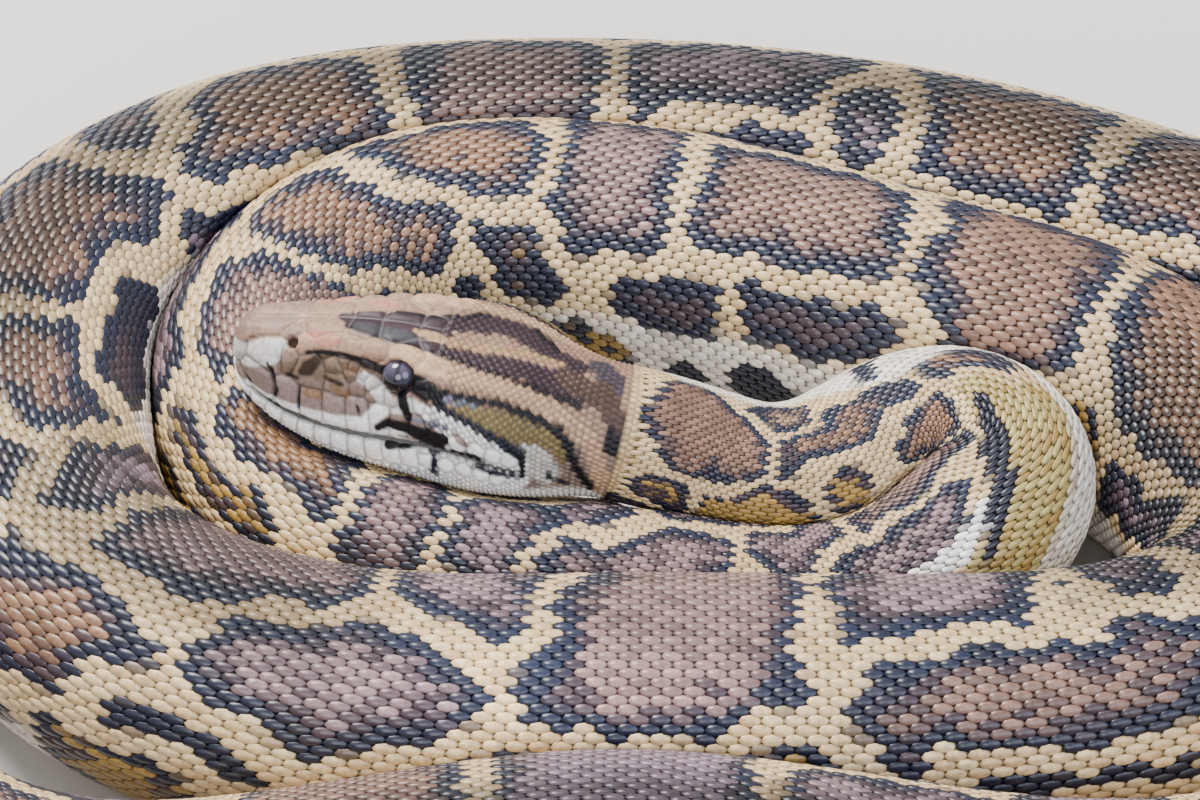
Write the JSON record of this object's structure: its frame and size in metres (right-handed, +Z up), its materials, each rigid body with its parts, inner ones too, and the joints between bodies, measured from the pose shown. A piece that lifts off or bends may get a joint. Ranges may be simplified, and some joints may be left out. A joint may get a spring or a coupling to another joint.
{
  "type": "coiled burmese python",
  "caption": "Still, life-size python lying in a flat coil on the floor, its head resting on its own inner loop.",
  "frame": {"origin": "on the floor below the middle of the outline seen from above", "axes": "+Z up; the head points to -X and the flank of the outer loops faces -Y"},
  "size_m": [0.5006, 0.3405, 0.0823],
  "materials": {
    "scaled_back": "satin scales, brown blotches edged in black on a cream net",
    "jaw_scales": "smooth whitish scales with black marks",
    "eye": "glossy dark eye under its clear scale"
  },
  "bodies": {
    "root": {"head": "scaled_back", "lower_jaw": "jaw_scales", "eye_left": "eye", "eye_right": "eye", "neck": "scaled_back", "tail": "scaled_back", "trunk_1": "scaled_back", "trunk_2": "scaled_back", "trunk_3": "scaled_back", "trunk_4": "scaled_back", "trunk_5": "scaled_back", "trunk_6": "scaled_back", "trunk_7": "scaled_back"}
  },
  "joints": []
}
